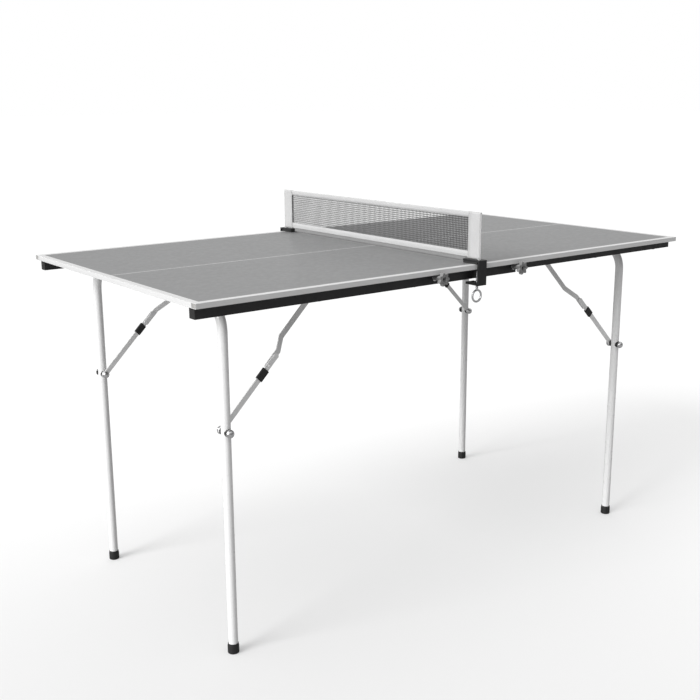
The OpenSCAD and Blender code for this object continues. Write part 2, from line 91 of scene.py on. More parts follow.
class TableColours(PropertyGroup):
    """Colours of the table's finishes."""

    playing: colour("Playing Surface", "Paint of the playing surface", (0.215, 0.216, 0.218))
    underside: colour("Underside", "Backing paper of the boards", (0.36, 0.355, 0.345))
    line: colour("Line", "Paint of the centre line", (0.78, 0.78, 0.78))
    trim: colour("Trim", "Edge trim", (0.68, 0.68, 0.68))
    black_coat: colour("Black Coat", "Powder coat of the rails and clamps", (0.008, 0.008, 0.009))
    white_coat: colour("White Coat", "Powder coat of the legs and stays", (0.9, 0.9, 0.9))
    black_plastic: colour("Black Plastic", "Caps, blocks, spacers and sleeves", (0.013, 0.013, 0.013))
    knob: colour("Knob", "Moulded knobs", (0.12, 0.12, 0.123))
    cloth: colour("Net Cloth", "Tapes, sleeves and stitches of the net", (0.58, 0.58, 0.58))
    # Painted shade: the skirt is darker than the tapes to stand for the shade under the net's lower tape
    skirt: colour("Net Skirt", "Plain band under the net's lower tape", (0.27, 0.27, 0.27))
    mesh: colour("Net Mesh", "Threads of the net's mesh", (0.075, 0.075, 0.077))
    rubber: colour("Rubber", "Clamp pads", (0.02, 0.02, 0.02))
    steel: colour("Steel", "Plated fixings", (0.72, 0.72, 0.73))


class TableSizes(PropertyGroup):
    """Sizes of what is finished here."""

    line_w: length("Line Width", "Width of the centre line", 3 * MM)
    mesh_pitch: length("Mesh Pitch", "Distance between the net's threads", 4.8 * MM)
    thread: length("Thread", "Thickness of the net's threads", 1.4 * MM)
    tape_h: length("Tape Height", "Height of the net's upper tape", 12 * MM)
    hem_h: length("Hem Height", "Height of the net's lower tape", 14 * MM)
    skirt_h: length("Skirt Height", "Height of the plain band under the lower tape", 12 * MM)
    sleeve_w: length("Sleeve Width", "Width of the cloth sleeve on each post", 37 * MM)
    cloth_t: length("Cloth", "Thickness of tapes and sleeves", 0.5 * MM)
    stitch: length("Stitch", "Length of a stitch", 2.2 * MM)
    stitch_gap: length("Stitch Gap", "Air between two stitches", 1.1 * MM)
    stitch_w: length("Stitch Width", "Thickness of the sewing thread", 0.45 * MM)
    lobes: IntProperty(name="Lobes", description="Lobes of a knob", default=7, min=3, max=12)
    hub_r: length("Hub Radius", "Radius of a knob's hub", 5.5 * MM)
    recess_r: length("Recess Radius", "Radius of the recess in a knob's face", 5.5 * MM)
    ring_wire: length("Ring Wire", "Wire diameter of a screw's ring", 4.5 * MM)
    thread_pitch: length("Thread Pitch", "Pitch of the ring screws' thread", 1 * MM)


class TableStudio(PropertyGroup):
    """Camera and light."""

    lens: FloatProperty(name="Lens", description="Focal length", default=53.08, min=10, unit="CAMERA")
    place: FloatVectorProperty(
        name="Camera", description="Where the camera stands", size=3, unit="LENGTH",
        default=(-1.572, -1.959, 1.114),
    )
    yaw: FloatProperty(name="Yaw", description="Camera's turn to the right", subtype="ANGLE",
                       default=math.radians(37.50))
    pitch: FloatProperty(name="Pitch", description="Camera's tilt upwards", subtype="ANGLE",
                         default=math.radians(-13.80))
    roll: FloatProperty(name="Roll", description="Camera's roll", subtype="ANGLE",
                        default=math.radians(-0.29))
    around: FloatProperty(name="Around", description="Light from all sides", default=0.14, min=0)
    above: FloatProperty(name="Above", description="Extra light from straight above", default=0.9, min=0)
    left: FloatProperty(name="Left", description="Extra light from the broad source on the left",
                        default=1.0, min=0)
    back: FloatProperty(name="Back", description="Extra light from behind the table", default=0.45, min=0)
    sun: FloatProperty(name="Sun", description="Strength of the small light on the left", default=2.5,
                       min=0)


def colours():
    return bpy.context.scene.table_colours


def sizes():
    return bpy.context.scene.table_sizes


def studio():
    return bpy.context.scene.table_studio


# ---------------------------------------------------------------- node trees

def add_node(tree, kind, values=None, **settings):
    """A new node with its settings, and its inputs set to values or joined to sockets."""
    node = tree.nodes.new(kind)
    for key, value in settings.items():
        setattr(node, key, value)
    for key, value in (values or {}).items():
        socket = node.inputs[key]
        if isinstance(value, bpy.types.NodeSocket):
            tree.links.new(value, socket)
        else:
            socket.default_value = value
    return node


def new_group(name, kind, inputs, outputs):
    """A node group with named inputs, (name, socket type, default), and outputs, (name, socket type)."""
    tree = bpy.data.node_groups.new(name, kind)
    for label, socket, *default in inputs:
        made = tree.interface.new_socket(label, in_out="INPUT", socket_type=socket)
        if default:
            made.default_value = default[0]
    for label, socket in outputs:
        tree.interface.new_socket(label, in_out="OUTPUT", socket_type=socket)
    return tree, tree.nodes.new("NodeGroupInput").outputs, tree.nodes.new("NodeGroupOutput").inputs


def join_sockets(tree, pairs):
    for source, target in pairs:
        tree.links.new(source, target)


def math_node(tree, operation, a, b=0.0, clamp=False):
    return add_node(tree, "ShaderNodeMath", {0: a, 1: b}, operation=operation, use_clamp=clamp).outputs[0]


def object_place(tree):
    return add_node(tree, "ShaderNodeTexCoord").outputs["Object"]


def noise(tree, vector, scale, detail=2.0, roughness=0.5):
    values = {"Vector": vector, "Scale": scale, "Detail": detail, "Roughness": roughness}
    return add_node(tree, "ShaderNodeTexNoise", values).outputs["Fac"]


def spread(tree, value, low, high, to_low=0.0, to_high=1.0):
    values = {"Value": value, "From Min": low, "From Max": high, "To Min": to_low, "To Max": to_high}
    return add_node(tree, "ShaderNodeMapRange", values).outputs["Result"]


def mix_colour(tree, factor, a, b):
    first, second, mixed = 6, 7, 2    # the node's colour sockets, by place
    node = add_node(tree, "ShaderNodeMix", {"Factor": factor, first: a, second: b}, data_type="RGBA")
    return node.outputs[mixed]


def shade(rgb, amount=1.0):
    return (rgb[0] * amount, rgb[1] * amount, rgb[2] * amount, 1.0)


def surface_group():
    """Coat, moulding or plating: cloudy colour, a fine grain, dust from above and worn gloss."""
    name = "Fine Surface"
    if name in bpy.data.node_groups:
        return bpy.data.node_groups[name]
    tree, given, result = new_group(
        name, "ShaderNodeTree",
        [("Color", "NodeSocketColor"), ("Color Spread", "NodeSocketFloat", 0.05),
         ("Roughness", "NodeSocketFloat", 0.4), ("Roughness Spread", "NodeSocketFloat", 0.1),
         ("Grain Scale", "NodeSocketFloat", 900.0), ("Grain Depth", "NodeSocketFloat", 0.00002),
         ("Dust", "NodeSocketFloat", 0.03), ("Scratches", "NodeSocketFloat", 0.1)],
        [("Color", "NodeSocketColor"), ("Roughness", "NodeSocketFloat"), ("Normal", "NodeSocketVector")],
    )
    place = object_place(tree)
    clouds = noise(tree, place, 14.0, 4.0, 0.6)
    patches = noise(tree, place, 90.0, 3.0, 0.55)
    grain = noise(tree, place, given["Grain Scale"], 3.0, 0.6)
    long_way = add_node(tree, "ShaderNodeMapping", {"Vector": place, "Scale": (9.0, 260.0, 420.0),
                                                   "Rotation": (0.3, 0.2, 0.5)}).outputs[0]
    fine_lines = spread(tree, noise(tree, long_way, 4.0, 2.0, 0.7), 0.62, 0.72)
    scratched = math_node(tree, "MULTIPLY", fine_lines, given["Scratches"])
    tone = spread(tree, clouds, 0.3, 0.7, -1.0, 1.0)
    tone = math_node(tree, "MULTIPLY", tone, given["Color Spread"])
    tone = math_node(tree, "ADD", tone, 1.0)
    toned = add_node(tree, "ShaderNodeVectorMath", {0: given["Color"]}, operation="SCALE")
    tree.links.new(tone, toned.inputs["Scale"])
    facing = add_node(tree, "ShaderNodeSeparateXYZ",
                      {0: add_node(tree, "ShaderNodeNewGeometry").outputs["Normal"]}).outputs["Z"]
    dusty = math_node(tree, "MULTIPLY", spread(tree, facing, 0.2, 1.0), given["Dust"])
    dusty = math_node(tree, "MULTIPLY", dusty, spread(tree, patches, 0.35, 0.75), clamp=True)
    base = mix_colour(tree, dusty, toned.outputs[0], (0.5, 0.48, 0.45, 1.0))
    rough = spread(tree, patches, 0.3, 0.7, -0.5, 0.5)
    rough = math_node(tree, "MULTIPLY", rough, given["Roughness Spread"])
    rough = math_node(tree, "ADD", rough, given["Roughness"])
    rough = math_node(tree, "ADD", rough, scratched)
    rough = math_node(tree, "ADD", rough, dusty, clamp=True)
    height = math_node(tree, "MULTIPLY", grain, given["Grain Depth"])
    bump = add_node(tree, "ShaderNodeBump", {"Strength": 1.0, "Distance": 1.0, "Height": height})
    join_sockets(tree, [(base, result["Color"]), (rough, result["Roughness"]),
                        (bump.outputs[0], result["Normal"])])
    return tree


def weave_group():
    """Plain weave that follows the cloth: threads over and under, in two directions."""
    name = "Plain Weave"
    if name in bpy.data.node_groups:
        return bpy.data.node_groups[name]
    tree, given, result = new_group(
        name, "ShaderNodeTree",
        [("Color", "NodeSocketColor"), ("Thread", "NodeSocketFloat", 0.0006),
         ("Depth", "NodeSocketFloat", 0.00012), ("Shadow", "NodeSocketFloat", 0.25)],
        [("Color", "NodeSocketColor"), ("Roughness", "NodeSocketFloat"), ("Normal", "NodeSocketVector")],
    )
    place = add_node(tree, "ShaderNodeUVMap", uv_map="cloth").outputs[0]
    turns = math_node(tree, "DIVIDE", math.pi, given["Thread"])
    axes = add_node(tree, "ShaderNodeSeparateXYZ", {0: place}).outputs
    waves = []
    for axis in ("X", "Y"):
        waves.append(math_node(tree, "SINE", math_node(tree, "MULTIPLY", axes[axis], turns)))
    over = math_node(tree, "MULTIPLY", waves[0], waves[1])
    over = spread(tree, over, -1.0, 1.0)
    fuzz = noise(tree, object_place(tree), 1500.0, 3.0, 0.7)
    wash = noise(tree, object_place(tree), 25.0, 4.0, 0.6)
    height = math_node(tree, "ADD", over, math_node(tree, "MULTIPLY", fuzz, 0.5))
    height = math_node(tree, "MULTIPLY", height, given["Depth"])
    bump = add_node(tree, "ShaderNodeBump", {"Strength": 1.0, "Distance": 1.0, "Height": height})
    dark = math_node(tree, "MULTIPLY", math_node(tree, "SUBTRACT", 1.0, over), given["Shadow"])
    tone = math_node(tree, "SUBTRACT", spread(tree, wash, 0.3, 0.7, 0.97, 1.03), dark)
    toned = add_node(tree, "ShaderNodeVectorMath", {0: given["Color"]}, operation="SCALE")
    tree.links.new(tone, toned.inputs["Scale"])
    rough = spread(tree, over, 0.0, 1.0, 0.92, 0.74)
    join_sockets(tree, [(toned.outputs[0], result["Color"]), (rough, result["Roughness"]),
                        (bump.outputs[0], result["Normal"])])
    return tree


def start_material(name):
    """A new material, its tree and its shader."""
    material = bpy.data.materials.new(name)
    material.use_nodes = True
    tree = material.node_tree
    tree.nodes.clear()
    shader = tree.nodes.new("ShaderNodeBsdfPrincipled")
    end = tree.nodes.new("ShaderNodeOutputMaterial")
    tree.links.new(shader.outputs[0], end.inputs["Surface"])
    return material, tree, shader


def place_group(tree, group, values):
    return add_node(tree, "ShaderNodeGroup", values, node_tree=group).outputs


def wire_surface(tree, shader, out):
    join_sockets(tree, [(out["Color"], shader.inputs["Base Color"]),
                        (out["Roughness"], shader.inputs["Roughness"]),
                        (out["Normal"], shader.inputs["Normal"])])


def plain_surface(name, rgb, metallic=0.0, coat=0.0, **values):
    """A material whose colour, gloss and grain come from the surface group."""
    if name in bpy.data.materials:
        return bpy.data.materials[name]
    material, tree, shader = start_material(name)
    shader.inputs["Metallic"].default_value = metallic
    shader.inputs["Coat Weight"].default_value = coat
    shader.inputs["Coat Roughness"].default_value = 0.08
    wire_surface(tree, shader, place_group(tree, surface_group(), {"Color": shade(rgb), **values}))
    return material


def trim_material():
    return plain_surface("trim_plastic", colours().trim, **{
        "Roughness": 0.36, "Roughness Spread": 0.12, "Grain Scale": 1400.0, "Grain Depth": 6e-6,
        "Color Spread": 0.015, "Dust": 0.05, "Scratches": 0.12})


def black_coat_material():
    return plain_surface("black_powder_coat", colours().black_coat, **{
        "Roughness": 0.46, "Roughness Spread": 0.16, "Grain Scale": 1100.0, "Grain Depth": 3.2e-5,
        "Color Spread": 0.12, "Dust": 0.05, "Scratches": 0.1})


def white_coat_material():
    return plain_surface("white_powder_coat", colours().white_coat, coat=0.25, **{
        "Roughness": 0.3, "Roughness Spread": 0.1, "Grain Scale": 520.0, "Grain Depth": 1.6e-5,
        "Color Spread": 0.012, "Dust": 0.02, "Scratches": 0.08})


def black_plastic_material():
    return plain_surface("black_moulded_plastic", colours().black_plastic, **{
        "Roughness": 0.52, "Roughness Spread": 0.14, "Grain Scale": 1900.0, "Grain Depth": 2.6e-5,
        "Color Spread": 0.1, "Dust": 0.05, "Scratches": 0.1})


def knob_material():
    return plain_surface("knob_plastic", colours().knob, **{
        "Roughness": 0.44, "Roughness Spread": 0.14, "Grain Scale": 2100.0, "Grain Depth": 2.4e-5,
        "Color Spread": 0.06, "Dust": 0.04, "Scratches": 0.1})


def rubber_material():
    return plain_surface("pad_rubber", colours().rubber, **{
        "Roughness": 0.78, "Roughness Spread": 0.1, "Grain Scale": 1200.0, "Grain Depth": 3e-5,
        "Color Spread": 0.12, "Dust": 0.08, "Scratches": 0.0})


def steel_material():
    return plain_surface("plated_steel", colours().steel, metallic=1.0, **{
        "Roughness": 0.17, "Roughness Spread": 0.12, "Grain Scale": 700.0, "Grain Depth": 2.5e-6,
        "Color Spread": 0.05, "Dust": 0.01, "Scratches": 0.25})


def board_material():
    """Painted playing surface with its centre line, and backing paper underneath."""
    name = "painted_board"
    if name in bpy.data.materials:
        return bpy.data.materials[name]
    material, tree, shader = start_material(name)
    place = object_place(tree)
    axes = add_node(tree, "ShaderNodeSeparateXYZ", {0: place}).outputs
    uneven = spread(tree, noise(tree, place, 500.0), 0.0, 1.0, -0.12 * MM, 0.12 * MM)
    away = math_node(tree, "ADD", math_node(tree, "ABSOLUTE", axes["Y"]), uneven)
    half = sizes().line_w / 2
    line = spread(tree, away, half, half - 0.3 * MM)
    up = add_node(tree, "ShaderNodeSeparateXYZ",
                  {0: add_node(tree, "ShaderNodeNewGeometry").outputs["Normal"]}).outputs["Z"]
    on_top = math_node(tree, "GREATER_THAN", up, 0.5)
    line = math_node(tree, "MULTIPLY", line, on_top)
    marks = noise(tree, place, 55.0, 5.0, 0.65)
    marks = spread(tree, marks, 0.66, 0.8, 0.0, 0.1)
    paint = mix_colour(tree, marks, shade(colours().playing), shade(colours().playing, 1.3))
    paint = mix_colour(tree, math_node(tree, "MULTIPLY", line, 0.85), paint, shade(colours().line))
    both = mix_colour(tree, on_top, shade(colours().underside), paint)
    out = place_group(tree, surface_group(), {
        "Color": both, "Color Spread": 0.018, "Roughness": 0.4, "Roughness Spread": 0.1,
        "Grain Scale": 800.0, "Grain Depth": 9e-6, "Dust": 0.015, "Scratches": 0.05})
    wire_surface(tree, shader, out)
    return material


def cloth_material(name, rgb, thread=0.7 * MM):
    if name in bpy.data.materials:
        return bpy.data.materials[name]
    material, tree, shader = start_material(name)
    shader.inputs["Sheen Weight"].default_value = 0.25
    shader.inputs["Sheen Roughness"].default_value = 0.5
    wire_surface(tree, shader, place_group(tree, weave_group(), {"Color": shade(rgb), "Thread": thread}))
    return material


def thread_material(name, rgb):
    """Twisted polyester thread, with painted shade in the grooves of its twist and a painted highlight where
    its strands turn outwards.
    """
    if name in bpy.data.materials:
        return bpy.data.materials[name]
    material, tree, shader = start_material(name)
    shader.inputs["Sheen Weight"].default_value = 0.3
    place = object_place(tree)
    twist = add_node(tree, "ShaderNodeTexWave", {"Vector": place, "Scale": 240.0, "Distortion": 2.0,
                                                "Detail": 2.0}, wave_type="BANDS",
                     bands_direction="DIAGONAL").outputs["Fac"]
    # Painted shade and painted highlight: the colour follows the twist, darker in its grooves and lighter on
    # its crests
    tone = mix_colour(tree, twist, shade(rgb, 0.8), shade(rgb, 1.15))
    height = math_node(tree, "MULTIPLY", twist, 8e-5)
    bump = add_node(tree, "ShaderNodeBump", {"Strength": 1.0, "Distance": 1.0, "Height": height})
    rough = spread(tree, twist, 0.0, 1.0, 0.8, 0.62)
    join_sockets(tree, [(tone, shader.inputs["Base Color"]), (rough, shader.inputs["Roughness"]),
                        (bump.outputs[0], shader.inputs["Normal"])])
    return material


FINISHES = {
    "playing_board": board_material,
    "white_trim": trim_material,
    "black_metal": black_coat_material,
    "black_plastic": black_plastic_material,
    "rubber_pad": rubber_material,
    "post_metal": white_coat_material,
    "knob_plastic": knob_material,
    "white_metal": white_coat_material,
    "bright_steel": steel_material,
}


# ---------------------------------------------------------------- mesh helpers

def new_piece(name, mesh, material, body, slot, *nodes):
    """An object for a finished mesh that rides on a body and stands for these nodes."""
    mesh.materials.clear()
    mesh.materials.append(material)
    piece = bpy.data.objects.new(name, mesh)
    bpy.context.scene.collection.objects.link(piece)
    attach(piece, body)
    if nodes:
        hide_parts(*nodes)
    return piece


def mesh_from(work, name, smooth_over=math.radians(35)):
    """A mesh from bmesh work, smooth except over edges sharper than an angle."""
    mesh = bpy.data.meshes.new(name)
    work.to_mesh(mesh)
    work.free()
    mesh.polygons.foreach_set("use_smooth", [True] * len(mesh.polygons))
    mesh.set_sharp_from_angle(angle=smooth_over)
    return mesh


def welded(node):
    """The node's surface with its triangles welded, and its flat faces in one piece each."""
    work = bmesh.new()
    work.from_mesh(frame["nodes"][node].data)
    bmesh.ops.remove_doubles(work, verts=work.verts, dist=0.002 * MM)
    bmesh.ops.dissolve_limit(work, angle_limit=math.radians(0.4), verts=work.verts, edges=work.edges)
    return work


def soften(node, radius, segments=2):
    """Stands for a node with the same shape and gently rounded edges."""
    mesh = mesh_from(welded(node), node + "_surface")
    slot = SLOT_OF[node]
    piece = new_piece(node + "_finished", mesh, FINISHES[slot](), BODY_OF[node], slot, node)
    if radius:
        bevel = piece.modifiers.new("Soft Edges", "BEVEL")
        bevel.width = radius
        bevel.segments = segments
        bevel.limit_method = "ANGLE"
        bevel.angle_limit = math.radians(35)
        bevel.use_clamp_overlap = True
        bevel.harden_normals = True
        bevel.miter_outer = "MITER_ARC"
    return piece


def circle(x, y, z, r, count):
    """Points round an upright axis through x and y, at height z."""
    return [(x + r * math.cos(i * math.tau / count), y + r * math.sin(i * math.tau / count), z)
            for i in range(count)]


def lathe_rings(work, rings, closed_ends=True):
    """Skins rings of points, each a list of the same length, into a tube."""
    made = [[work.verts.new(point) for point in ring] for ring in rings]
    count = len(made[0])
    for low, high in zip(made, made[1:]):
        for i in range(count):
            j = (i + 1) % count
            work.faces.new((low[i], low[j], high[j], high[i]))
    if closed_ends:
        work.faces.new(list(reversed(made[0])))
        work.faces.new(made[-1])
    return made


def face_outwards(work):
    bmesh.ops.recalc_face_normals(work, faces=work.faces)


def islands(node):
    """The box, (lowest corner, highest corner), of each separate solid of a node."""
    work = welded(node)
    left, found = set(work.verts), []
    while left:
        todo, group = [left.pop()], []
        while todo:
            vert = todo.pop()
            group.append(vert.co.copy())
            for edge in vert.link_edges:
                other = edge.other_vert(vert)
                if other in left:
                    left.remove(other)
                    todo.append(other)
        low = Vector(min(point[k] for point in group) for k in range(3))
        high = Vector(max(point[k] for point in group) for k in range(3))
        found.append((low, high))
    work.free()
    return sorted(found, key=lambda box: tuple(round(v, 4) for v in box[0]))


def run_tree(tree, start_mesh=None, **values):
    """The plain mesh that a Geometry Nodes tree makes with these inputs."""
    mesh = start_mesh or bpy.data.meshes.new("seed")
    holder = bpy.data.objects.new("tree_holder", mesh)
    bpy.context.scene.collection.objects.link(holder)
    modifier = holder.modifiers.new("Tree", "NODES")
    modifier.node_group = tree
    for item in tree.interface.items_tree:
        if item.item_type == "SOCKET" and item.in_out == "INPUT":
            key = item.name.lower().replace(" ", "_")
            if key in values:
                modifier[item.identifier] = values[key]
    depsgraph = bpy.context.evaluated_depsgraph_get()
    made = bpy.data.meshes.new_from_object(holder.evaluated_get(depsgraph), depsgraph=depsgraph)
    holder.modifiers.clear()
    bpy.data.objects.remove(holder)
    if not len(made.polygons):
        raise RuntimeError(f"{tree.name} made no faces")
    return made


def gather(meshes, name):
    """One mesh out of several."""
    work = bmesh.new()
    for mesh in meshes:
        work.from_mesh(mesh)
        bpy.data.meshes.remove(mesh)
    return mesh_from(work, name)


def finish_tree(tree, geometry, material, result):
    """Ends a Geometry Nodes tree in Realize Instances and Set Material."""
    real = add_node(tree, "GeometryNodeRealizeInstances", {"Geometry": geometry}).outputs[0]
    done = add_node(tree, "GeometryNodeSetMaterial", {"Geometry": real, "Material": material})
    tree.links.new(done.outputs[0], result["Geometry"])


def net_tree():
    """Square mesh of round threads with a knot where two of them cross."""
    tree, given, result = new_group(
        "Net Mesh", "GeometryNodeTree",
        [("Width", "NodeSocketFloat", 0.68), ("Height", "NodeSocketFloat", 0.07),
         ("Pitch", "NodeSocketFloat", 0.005), ("Thread", "NodeSocketFloat", 0.0012),
         ("Centre", "NodeSocketVector"), ("Material", "NodeSocketMaterial")],
        [("Geometry", "NodeSocketGeometry")],
    )

    def count_for(span):
        steps = math_node(tree, "FLOOR", math_node(tree, "DIVIDE", given[span], given["Pitch"]))
        return steps, math_node(tree, "DIVIDE", given[span], math_node(tree, "MAXIMUM", steps, 1.0))

    def vector(x=0.0, y=0.0, z=0.0):
        return add_node(tree, "ShaderNodeCombineXYZ", {"X": x, "Y": y, "Z": z}).outputs[0]

    def negative_half(value):
        return math_node(tree, "MULTIPLY", value, -0.5)

    across, step_y = count_for("Width")
    upwards, step_z = count_for("Height")
    side = math_node(tree, "MULTIPLY", given["Thread"], 0.28)
    radius = math_node(tree, "MULTIPLY", given["Thread"], 0.5)
    layers = []
    plans = (
        (across, vector(side, negative_half(given["Width"]), 0.0), vector(0.0, step_y, 0.0),
         given["Height"], (0.0, 0.0, 0.0)),
        (upwards, vector(math_node(tree, "MULTIPLY", side, -1.0), 0.0, negative_half(given["Height"])),
         vector(0.0, 0.0, step_z), given["Width"], (math.pi / 2, 0.0, 0.0)),
    )
    for steps, start, offset, depth, turn in plans:
        count = math_node(tree, "ADD", steps, 1.0)
        line = add_node(tree, "GeometryNodeMeshLine",
                        {"Count": count, "Start Location": start, "Offset": offset}).outputs[0]
        rod = add_node(tree, "GeometryNodeMeshCylinder",
                       {"Vertices": 8, "Radius": radius, "Depth": depth}).outputs[0]
        layers.append(add_node(tree, "GeometryNodeInstanceOnPoints",
                               {"Points": line, "Instance": rod, "Rotation": turn}).outputs[0])
    grid = add_node(tree, "GeometryNodeMeshGrid", {
        "Size X": given["Height"], "Size Y": given["Width"],
        "Vertices X": math_node(tree, "ADD", upwards, 1.0),
        "Vertices Y": math_node(tree, "ADD", across, 1.0)}).outputs[0]
    upright = add_node(tree, "GeometryNodeTransform",
                       {"Geometry": grid, "Rotation": (0.0, math.pi / 2, 0.0)}).outputs[0]
    knot = add_node(tree, "GeometryNodeMeshIcoSphere", {
        "Radius": math_node(tree, "MULTIPLY", given["Thread"], 0.78), "Subdivisions": 1}).outputs[0]
    layers.append(add_node(tree, "GeometryNodeInstanceOnPoints",
                           {"Points": upright, "Instance": knot}).outputs[0])
    joined = tree.nodes.new("GeometryNodeJoinGeometry")
    for layer in layers:
        tree.links.new(layer, joined.inputs[0])
    moved = add_node(tree, "GeometryNodeTransform",
                     {"Geometry": joined.outputs[0], "Translation": given["Centre"]}).outputs[0]
    finish_tree(tree, moved, given["Material"], result)
    return tree


def stitch_tree():
    """A row of stitches from a start point, one step apart."""
    tree, given, result = new_group(
        "Stitch Row", "GeometryNodeTree",
        [("Start", "NodeSocketVector"), ("Step", "NodeSocketVector"), ("Count", "NodeSocketInt", 10),
         ("Size", "NodeSocketVector"), ("Material", "NodeSocketMaterial")],
        [("Geometry", "NodeSocketGeometry")],
    )
    line = add_node(tree, "GeometryNodeMeshLine",
                    {"Count": given["Count"], "Start Location": given["Start"], "Offset": given["Step"]})
    bead = add_node(tree, "GeometryNodeMeshIcoSphere", {"Radius": 0.5, "Subdivisions": 1}).outputs[0]
    row = add_node(tree, "GeometryNodeInstanceOnPoints",
                   {"Points": line.outputs[0], "Instance": bead, "Scale": given["Size"]}).outputs[0]
    finish_tree(tree, row, given["Material"], result)
    return tree


def fixing_tree():
    """A fixing on each point of the given mesh."""
    tree, given, result = new_group(
        "Fixings", "GeometryNodeTree",
        [("Geometry", "NodeSocketGeometry"), ("Fixing", "NodeSocketObject"),
         ("Material", "NodeSocketMaterial")],
        [("Geometry", "NodeSocketGeometry")],
    )
    info = add_node(tree, "GeometryNodeObjectInfo", {"Object": given["Fixing"]})
    placed = add_node(tree, "GeometryNodeInstanceOnPoints",
                      {"Points": given["Geometry"], "Instance": info.outputs["Geometry"]}).outputs[0]
    finish_tree(tree, placed, given["Material"], result)
    return tree


# ---------------------------------------------------------------- pieces

class TABLE_OT_top(Operator):
    """Finish the two boards and their edge trims"""

    bl_idname = "table.top"
    bl_label = "Table Top"

    def execute(self, context):
        for end in ENDS:
            soften(end + "_board", 0.0)
            soften(end + "_trim", 0.35 * MM, 3)
        return {"FINISHED"}


class TABLE_OT_rails(Operator):
    """Finish the telescoping rails, their caps and bolts"""

    bl_idname = "table.rails"
    bl_label = "Rails"

    def execute(self, context):
        for end in ENDS:
            soften(end + "_rails", 0.4 * MM, 3)
            soften(end + "_rail_caps", 0.5 * MM, 3)
        soften("rail_bolts", 0.3 * MM)
        soften("knob_washers", 0.25 * MM)
        return {"FINISHED"}


class TABLE_OT_fixings(Operator):
    """Finish the blocks and brackets under the boards, with cross-headed screws"""

    bl_idname = "table.fixings"
    bl_label = "Fixings"

    def execute(self, context):
        for end in ENDS:
            soften(end + "_pillow_blocks", 0.6 * MM, 3)
            soften(end + "_stay_brackets", 0.3 * MM)
            soften(end + "_stay_pins", 0.3 * MM)
            self.make_screws(end + "_screws")
        return {"FINISHED"}

    def make_screws(self, node):
        """One mesh of cross-headed screws where the node's plain screws are."""
        boxes = islands(node)
        tree = bpy.data.node_groups.get("Fixings") or fixing_tree()
        made = []
        for height in sorted({round(high.z - low.z, 4) for low, high in boxes}):
            same = [box for box in boxes if round(box[1].z - box[0].z, 4) == height]
            points = bpy.data.meshes.new("screw_places")
            points.from_pydata([((low.x + high.x) / 2, (low.y + high.y) / 2, low.z)
                                for low, high in same], [], [])
            head_r = (same[0][1].x - same[0][0].x) / 2
            model = self.screw_model(head_r, height)
            made.append(run_tree(tree, points, fixing=model, material=steel_material()))
            bpy.data.objects.remove(model)
        new_piece(node + "_finished", gather(made, node + "_surface"), steel_material(),
                  BODY_OF[node], SLOT_OF[node], node)

    def screw_model(self, head_r, height):
        """A pan head with a cross recess, facing down at z = 0, and a threaded shank."""
        head_t = 2.3 * MM
        shank_r = 2.0 * MM
        tip_l = 3 * MM
        corners = 24
        outline = [(0.35, 0.0), (0.72, 0.06), (0.92, 0.22), (1.0, 0.5), (1.0, 1.0)]
        rings = [(head_r * r, head_t * z) for r, z in outline]
        rings.append((shank_r, head_t))
        pitch = 1.4 * MM
        z = head_t
        while z + pitch < height - tip_l:
            rings += [(shank_r, z + pitch * 0.4), (shank_r * 0.78, z + pitch * 0.9)]
            z += pitch
        rings += [(shank_r * 0.8, height - tip_l), (0.15 * MM, height)]
        work = bmesh.new()
        lathe_rings(work, [circle(0.0, 0.0, z, r, corners) for r, z in rings])
        face_outwards(work)
        model = bpy.data.objects.new("screw_model", mesh_from(work, "screw_model"))
        bpy.context.scene.collection.objects.link(model)
        work = bmesh.new()
        for turn in (0.0, math.pi / 2):
            place = Matrix.Rotation(turn, 4, "Z") @ Matrix.Diagonal(
                (head_r * 1.1, 0.9 * MM, 3.2 * MM, 1.0))
            bmesh.ops.create_cube(work, size=1.0, matrix=place)
        cutter = bpy.data.objects.new("cross_cutter", mesh_from(work, "cross_cutter"))
        bpy.context.scene.collection.objects.link(cutter)
        cut = model.modifiers.new("Cross", "BOOLEAN")
        cut.operation = "DIFFERENCE"
        cut.solver = "EXACT"
        cut.use_self = True
        cut.object = cutter
        depsgraph = bpy.context.evaluated_depsgraph_get()
        finished = bpy.data.meshes.new_from_object(model.evaluated_get(depsgraph), depsgraph=depsgraph)
        model.modifiers.clear()
        model.data = finished
        bpy.data.objects.remove(cutter)
        return model


class TABLE_OT_legs(Operator):
    """Finish the leg frames, their feet, bolts and spacers"""

    bl_idname = "table.legs"
    bl_label = "Leg Frames"

    def execute(self, context):
        for end in ENDS:
            soften(end + "_leg_frame", 0.0)
            soften(end + "_foot_caps", 0.5 * MM, 3)
            soften(end + "_leg_bolts", 0.3 * MM)
            soften(end + "_spacers", 0.4 * MM)
            soften(end + "_stay_nuts", 0.3 * MM)
        return {"FINISHED"}


class TABLE_OT_stays(Operator):
    """Finish the folding stays, their rivets and lock sleeves"""

    bl_idname = "table.stays"
    bl_label = "Stays"

    def execute(self, context):
        for side in SIDES:
            for end in ENDS:
                stay = f"{side}_{end}_"
                for bar in ("upper_stay", "lower_stay"):
                    soften(stay + bar, 0.45 * MM, 3)
                for rivet in ("inner_rivet", "outer_rivet"):
                    soften(stay + rivet, 0.25 * MM)
                soften(stay + "sleeve", 0.9 * MM, 4)
        return {"FINISHED"}


